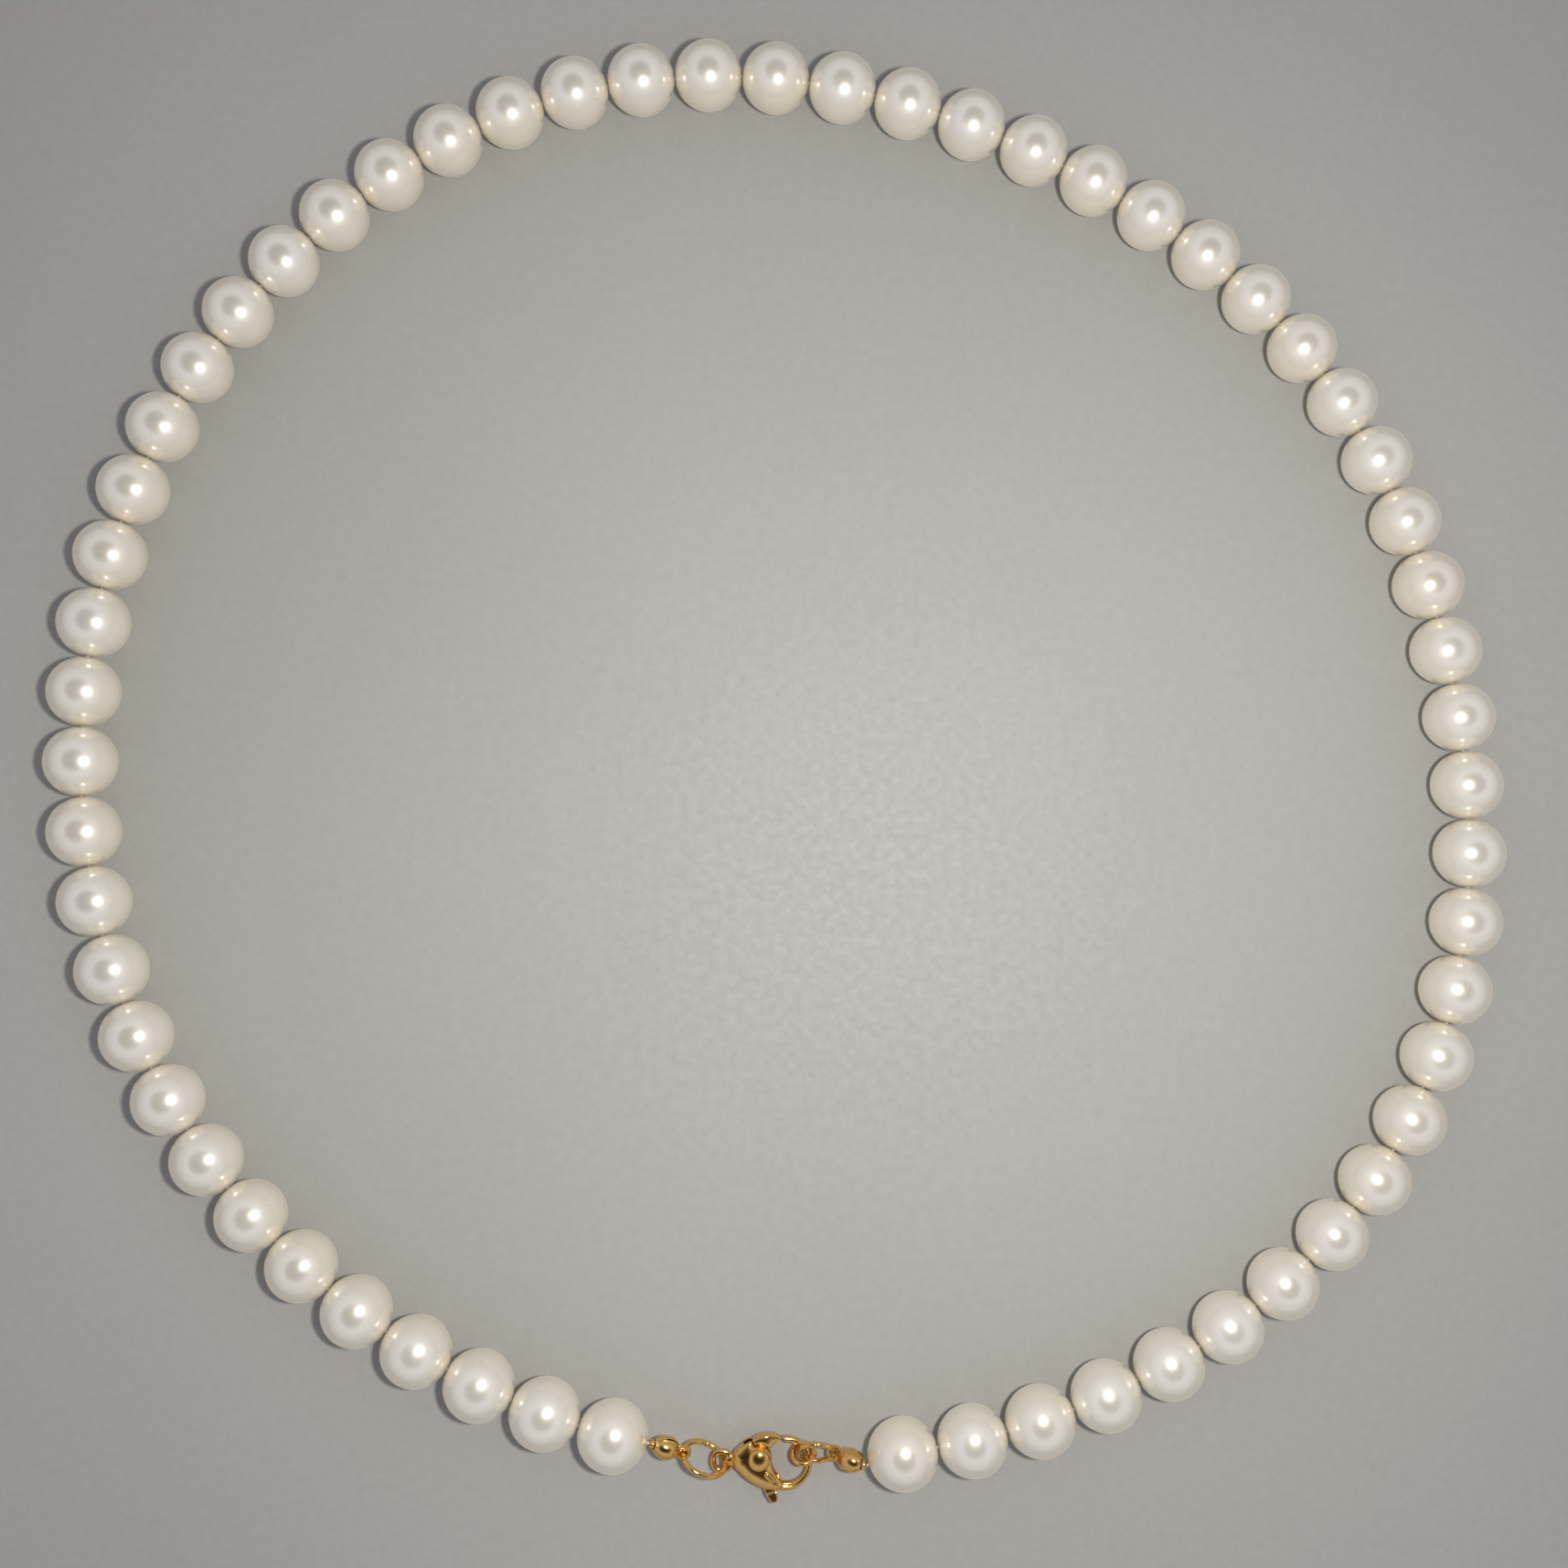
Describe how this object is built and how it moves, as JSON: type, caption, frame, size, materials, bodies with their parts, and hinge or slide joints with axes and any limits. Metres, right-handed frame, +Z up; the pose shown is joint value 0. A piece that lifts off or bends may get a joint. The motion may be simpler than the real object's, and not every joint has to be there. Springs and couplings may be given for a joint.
{
  "type": "pearl necklace",
  "caption": "Closed single-strand necklace of round drilled pearls on a thread, with clamshell bead tips, jump rings and a sprung lobster clasp.",
  "frame": {"origin": "middle of the footprint of the closed necklace, on the surface that it lies on", "axes": "+Z up from the surface, +X along the clasp from its eye towards its claw, +Y from the clasp across the loop"},
  "size_m": [0.1694, 0.171, 0.008],
  "materials": {
    "pearl": "nacre coating, glossy with a soft lustre",
    "gold_plate": "polished yellow gold plating",
    "spring_steel": "plain spring strip",
    "thread": "twisted stringing thread"
  },
  "bodies": {
    "pearls_01_02": {"pearls_01_02": "pearl"},
    "pearls_03_04": {"pearls_03_04": "pearl"},
    "pearls_05_06": {"pearls_05_06": "pearl"},
    "pearls_07_08": {"pearls_07_08": "pearl"},
    "pearls_09_10": {"pearls_09_10": "pearl"},
    "pearls_11_12": {"pearls_11_12": "pearl"},
    "pearls_13_14": {"pearls_13_14": "pearl"},
    "pearls_15_16": {"pearls_15_16": "pearl"},
    "pearls_17_18": {"pearls_17_18": "pearl"},
    "pearls_19_20": {"pearls_19_20": "pearl"},
    "pearls_21_22": {"pearls_21_22": "pearl"},
    "pearls_23_24": {"pearls_23_24": "pearl"},
    "pearls_25_26": {"pearls_25_26": "pearl"},
    "pearls_27_28": {"pearls_27_28": "pearl"},
    "pearls_29_30": {"pearls_29_30": "pearl", "stringing_thread": "thread"},
    "pearls_31_32": {"pearls_31_32": "pearl"},
    "pearls_33_34": {"pearls_33_34": "pearl"},
    "pearls_35_36": {"pearls_35_36": "pearl"},
    "pearls_37_38": {"pearls_37_38": "pearl"},
    "pearls_39_40": {"pearls_39_40": "pearl"},
    "pearls_41_42": {"pearls_41_42": "pearl"},
    "pearls_43_44": {"pearls_43_44": "pearl"},
    "pearls_45_46": {"pearls_45_46": "pearl"},
    "pearls_47_48": {"pearls_47_48": "pearl"},
    "pearls_49_50": {"pearls_49_50": "pearl"},
    "pearls_51_52": {"pearls_51_52": "pearl"},
    "pearls_53_54": {"pearls_53_54": "pearl"},
    "pearls_55_56": {"pearls_55_56": "pearl"},
    "pearls_57_58": {"pearls_57_58": "pearl"},
    "pearls_59_60": {"pearls_59_60": "pearl"},
    "left_bead_tip": {"left_bead_tip": "gold_plate", "left_crimp_bead": "gold_plate"},
    "right_bead_tip": {"right_bead_tip": "gold_plate", "right_crimp_bead": "gold_plate"},
    "left_jump_ring": {"left_jump_ring": "gold_plate"},
    "right_jump_ring": {"right_jump_ring": "gold_plate"},
    "clasp_ring": {"clasp_ring": "gold_plate"},
    "clasp_body": {"clasp_body": "gold_plate", "clasp_pivot_rivet": "gold_plate", "clasp_leaf_spring": "spring_steel"},
    "clasp_gate_lever": {"clasp_gate_lever": "gold_plate"}
  },
  "joints": [
    {"name": "strand_bend_28_29", "type": "hinge", "parent": "pearls_29_30", "child": "pearls_27_28", "pos_m": [-0.01311, 0.08113, 0.004], "axis": [0, 0, 1], "range_deg": [-6, 6], "deforming": ["stringing_thread"]},
    {"name": "strand_bend_26_27", "type": "hinge", "parent": "pearls_27_28", "child": "pearls_25_26", "pos_m": [-0.02882, 0.07778, 0.004], "axis": [0, 0, 1], "range_deg": [-4.7, 4.7]},
    {"name": "strand_bend_24_25", "type": "hinge", "parent": "pearls_25_26", "child": "pearls_23_24", "pos_m": [-0.04331, 0.07084, 0.004], "axis": [0, 0, 1], "range_deg": [-2.34, 2.34]},
    {"name": "strand_bend_22_23", "type": "hinge", "parent": "pearls_23_24", "child": "pearls_21_22", "pos_m": [-0.05593, 0.06089, 0.004], "axis": [0, 0, 1], "range_deg": [-0.74, 0.74]},
    {"name": "strand_bend_20_21", "type": "hinge", "parent": "pearls_21_22", "child": "pearls_19_20", "pos_m": [-0.06627, 0.04857, 0.004], "axis": [0, 0, 1], "range_deg": [-2.29, 2.29]},
    {"name": "strand_bend_18_19", "type": "hinge", "parent": "pearls_19_20", "child": "pearls_17_18", "pos_m": [-0.07398, 0.03446, 0.004], "axis": [0, 0, 1], "range_deg": [-4.06, 4.06]},
    {"name": "strand_bend_16_17", "type": "hinge", "parent": "pearls_17_18", "child": "pearls_15_16", "pos_m": [-0.07879, 0.01911, 0.004], "axis": [0, 0, 1], "range_deg": [-5.36, 5.36]},
    {"name": "strand_bend_14_15", "type": "hinge", "parent": "pearls_15_16", "child": "pearls_13_14", "pos_m": [-0.08059, 0.00313, 0.004], "axis": [0, 0, 1], "range_deg": [-6.04, 6.04]},
    {"name": "strand_bend_12_13", "type": "hinge", "parent": "pearls_13_14", "child": "pearls_11_12", "pos_m": [-0.07934, -0.0129, 0.004], "axis": [0, 0, 1], "range_deg": [-5.88, 5.88]},
    {"name": "strand_bend_10_11", "type": "hinge", "parent": "pearls_11_12", "child": "pearls_09_10", "pos_m": [-0.07501, -0.02839, 0.004], "axis": [0, 0, 1], "range_deg": [-4.69, 4.69]},
    {"name": "strand_bend_08_09", "type": "hinge", "parent": "pearls_09_10", "child": "pearls_07_08", "pos_m": [-0.06759, -0.04265, 0.004], "axis": [0, 0, 1], "range_deg": [-2.6, 2.6]},
    {"name": "strand_bend_06_07", "type": "hinge", "parent": "pearls_07_08", "child": "pearls_05_06", "pos_m": [-0.05736, -0.05506, 0.004], "axis": [0, 0, 1], "range_deg": [-0.74, 0.74]},
    {"name": "strand_bend_04_05", "type": "hinge", "parent": "pearls_05_06", "child": "pearls_03_04", "pos_m": [-0.04489, -0.0652, 0.004], "axis": [0, 0, 1], "range_deg": [-2.31, 2.31]},
    {"name": "strand_bend_02_03", "type": "hinge", "parent": "pearls_03_04", "child": "pearls_01_02", "pos_m": [-0.03075, -0.07289, 0.004], "axis": [0, 0, 1], "range_deg": [-4.05, 4.05]},
    {"name": "left_tip_swing", "type": "hinge", "parent": "pearls_01_02", "child": "left_bead_tip", "pos_m": [-0.01548, -0.07791, 0.00376], "axis": [0, 0, 1], "range_deg": [-5.87, 5.87]},
    {"name": "left_ring_swing", "type": "hinge", "parent": "left_bead_tip", "child": "left_jump_ring", "pos_m": [-0.01139, -0.07936, 0.00274], "axis": [0, 0, 1], "range_deg": [-1.21, 1.21]},
    {"name": "clasp_swing", "type": "hinge", "parent": "left_jump_ring", "child": "clasp_body", "pos_m": [-0.00705, -0.08081, 0.0015], "axis": [0, 0, 1], "range_deg": [-1.21, 1.21]},
    {"name": "strand_bend_30_31", "type": "hinge", "parent": "pearls_29_30", "child": "pearls_31_32", "pos_m": [0.00296, 0.08078, 0.004], "axis": [0, 0, 1], "range_deg": [-6.77, 6.77]},
    {"name": "strand_bend_32_33", "type": "hinge", "parent": "pearls_31_32", "child": "pearls_33_34", "pos_m": [0.01864, 0.0772, 0.004], "axis": [0, 0, 1], "range_deg": [-5.81, 5.81]},
    {"name": "strand_bend_34_35", "type": "hinge", "parent": "pearls_33_34", "child": "pearls_35_36", "pos_m": [0.03353, 0.07109, 0.004], "axis": [0, 0, 1], "range_deg": [-3.82, 3.82]},
    {"name": "strand_bend_36_37", "type": "hinge", "parent": "pearls_35_36", "child": "pearls_37_38", "pos_m": [0.0473, 0.06276, 0.004], "axis": [0, 0, 1], "range_deg": [-1.34, 1.34]},
    {"name": "strand_bend_38_39", "type": "hinge", "parent": "pearls_37_38", "child": "pearls_39_40", "pos_m": [0.0593, 0.05206, 0.004], "axis": [0, 0, 1], "range_deg": [-1.15, 1.15]},
    {"name": "strand_bend_40_41", "type": "hinge", "parent": "pearls_39_40", "child": "pearls_41_42", "pos_m": [0.06875, 0.03906, 0.004], "axis": [0, 0, 1], "range_deg": [-3.33, 3.33]},
    {"name": "strand_bend_42_43", "type": "hinge", "parent": "pearls_41_42", "child": "pearls_43_44", "pos_m": [0.07529, 0.02436, 0.004], "axis": [0, 0, 1], "range_deg": [-5.06, 5.06]},
    {"name": "strand_bend_44_45", "type": "hinge", "parent": "pearls_43_44", "child": "pearls_45_46", "pos_m": [0.07917, 0.00874, 0.004], "axis": [0, 0, 1], "range_deg": [-6.15, 6.15]},
    {"name": "strand_bend_46_47", "type": "hinge", "parent": "pearls_45_46", "child": "pearls_47_48", "pos_m": [0.08062, -0.00729, 0.004], "axis": [0, 0, 1], "range_deg": [-6.32, 6.32]},
    {"name": "strand_bend_48_49", "type": "hinge", "parent": "pearls_47_48", "child": "pearls_49_50", "pos_m": [0.07925, -0.02331, 0.004], "axis": [0, 0, 1], "range_deg": [-5.35, 5.35]},
    {"name": "strand_bend_50_51", "type": "hinge", "parent": "pearls_49_50", "child": "pearls_51_52", "pos_m": [0.0744, -0.03862, 0.004], "axis": [0, 0, 1], "range_deg": [-3.35, 3.35]},
    {"name": "strand_bend_52_53", "type": "hinge", "parent": "pearls_51_52", "child": "pearls_53_54", "pos_m": [0.06586, -0.05221, 0.004], "axis": [0, 0, 1], "range_deg": [-0.86, 0.86]},
    {"name": "strand_bend_54_55", "type": "hinge", "parent": "pearls_53_54", "child": "pearls_55_56", "pos_m": [0.0542, -0.06325, 0.004], "axis": [0, 0, 1], "range_deg": [-1.48, 1.48]},
    {"name": "strand_bend_56_57", "type": "hinge", "parent": "pearls_55_56", "child": "pearls_57_58", "pos_m": [0.04039, -0.0715, 0.004], "axis": [0, 0, 1], "range_deg": [-3.3, 3.3]},
    {"name": "strand_bend_58_59", "type": "hinge", "parent": "pearls_57_58", "child": "pearls_59_60", "pos_m": [0.02528, -0.077, 0.004], "axis": [0, 0, 1], "range_deg": [-4.51, 4.51]},
    {"name": "right_tip_swing", "type": "hinge", "parent": "pearls_59_60", "child": "right_bead_tip", "pos_m": [0.00958, -0.08056, 0.0038], "axis": [0, 0, 1], "range_deg": [-5.27, 5.27]},
    {"name": "right_ring_swing", "type": "hinge", "parent": "right_bead_tip", "child": "right_jump_ring", "pos_m": [0.00575, -0.07995, 0.00194], "axis": [0, 0, 1], "range_deg": [-1.21, 1.21]},
    {"name": "clasp_ring_swing", "type": "hinge", "parent": "right_jump_ring", "child": "clasp_ring", "pos_m": [0.00165, -0.07987, 0.00186], "axis": [0, 0, 1], "range_deg": [-1.21, 1.21]},
    {"name": "gate_lever_pivot", "type": "hinge", "parent": "clasp_body", "child": "clasp_gate_lever", "pos_m": [-0.00285, -0.08051, 0.0015], "axis": [0, 0, 1], "range_deg": [-28, 0], "stiffness_Nm_per_rad": 0.002, "springref_deg": 17.19, "deforming": ["clasp_leaf_spring"]}
  ],
  "couplings": [
    {"joint": "strand_bend_26_27", "follows": "strand_bend_28_29", "ratio": 0.76669},
    {"joint": "strand_bend_24_25", "follows": "strand_bend_28_29", "ratio": 0.38091},
    {"joint": "strand_bend_22_23", "follows": "strand_bend_28_29", "ratio": 0.12},
    {"joint": "strand_bend_20_21", "follows": "strand_bend_28_29", "ratio": -0.37397},
    {"joint": "strand_bend_18_19", "follows": "strand_bend_28_29", "ratio": -0.66243},
    {"joint": "strand_bend_16_17", "follows": "strand_bend_28_29", "ratio": -0.87476},
    {"joint": "strand_bend_14_15", "follows": "strand_bend_28_29", "ratio": -0.98671},
    {"joint": "strand_bend_12_13", "follows": "strand_bend_28_29", "ratio": -0.95937},
    {"joint": "strand_bend_10_11", "follows": "strand_bend_28_29", "ratio": -0.76486},
    {"joint": "strand_bend_08_09", "follows": "strand_bend_28_29", "ratio": -0.4235},
    {"joint": "strand_bend_06_07", "follows": "strand_bend_28_29", "ratio": -0.12},
    {"joint": "strand_bend_04_05", "follows": "strand_bend_28_29", "ratio": 0.37601},
    {"joint": "strand_bend_02_03", "follows": "strand_bend_28_29", "ratio": 0.66082},
    {"joint": "left_tip_swing", "follows": "strand_bend_28_29", "ratio": 0.95816},
    {"joint": "left_ring_swing", "follows": "strand_bend_28_29", "ratio": 0.19663},
    {"joint": "clasp_swing", "follows": "strand_bend_28_29", "ratio": 0.19638},
    {"joint": "strand_bend_30_31", "follows": "strand_bend_28_29", "ratio": -1.1056},
    {"joint": "strand_bend_32_33", "follows": "strand_bend_28_29", "ratio": -0.94792},
    {"joint": "strand_bend_34_35", "follows": "strand_bend_28_29", "ratio": -0.62302},
    {"joint": "strand_bend_36_37", "follows": "strand_bend_28_29", "ratio": -0.21773},
    {"joint": "strand_bend_38_39", "follows": "strand_bend_28_29", "ratio": 0.18759},
    {"joint": "strand_bend_40_41", "follows": "strand_bend_28_29", "ratio": 0.54329},
    {"joint": "strand_bend_42_43", "follows": "strand_bend_28_29", "ratio": 0.82559},
    {"joint": "strand_bend_44_45", "follows": "strand_bend_28_29", "ratio": 1.0044},
    {"joint": "strand_bend_46_47", "follows": "strand_bend_28_29", "ratio": 1.0321},
    {"joint": "strand_bend_48_49", "follows": "strand_bend_28_29", "ratio": 0.87275},
    {"joint": "strand_bend_50_51", "follows": "strand_bend_28_29", "ratio": 0.54579},
    {"joint": "strand_bend_52_53", "follows": "strand_bend_28_29", "ratio": 0.13996},
    {"joint": "strand_bend_54_55", "follows": "strand_bend_28_29", "ratio": -0.24047},
    {"joint": "strand_bend_56_57", "follows": "strand_bend_28_29", "ratio": -0.53763},
    {"joint": "strand_bend_58_59", "follows": "strand_bend_28_29", "ratio": -0.7362},
    {"joint": "right_tip_swing", "follows": "strand_bend_28_29", "ratio": -0.86053},
    {"joint": "right_ring_swing", "follows": "strand_bend_28_29", "ratio": -0.19619},
    {"joint": "clasp_ring_swing", "follows": "strand_bend_28_29", "ratio": -0.19621}
  ]
}
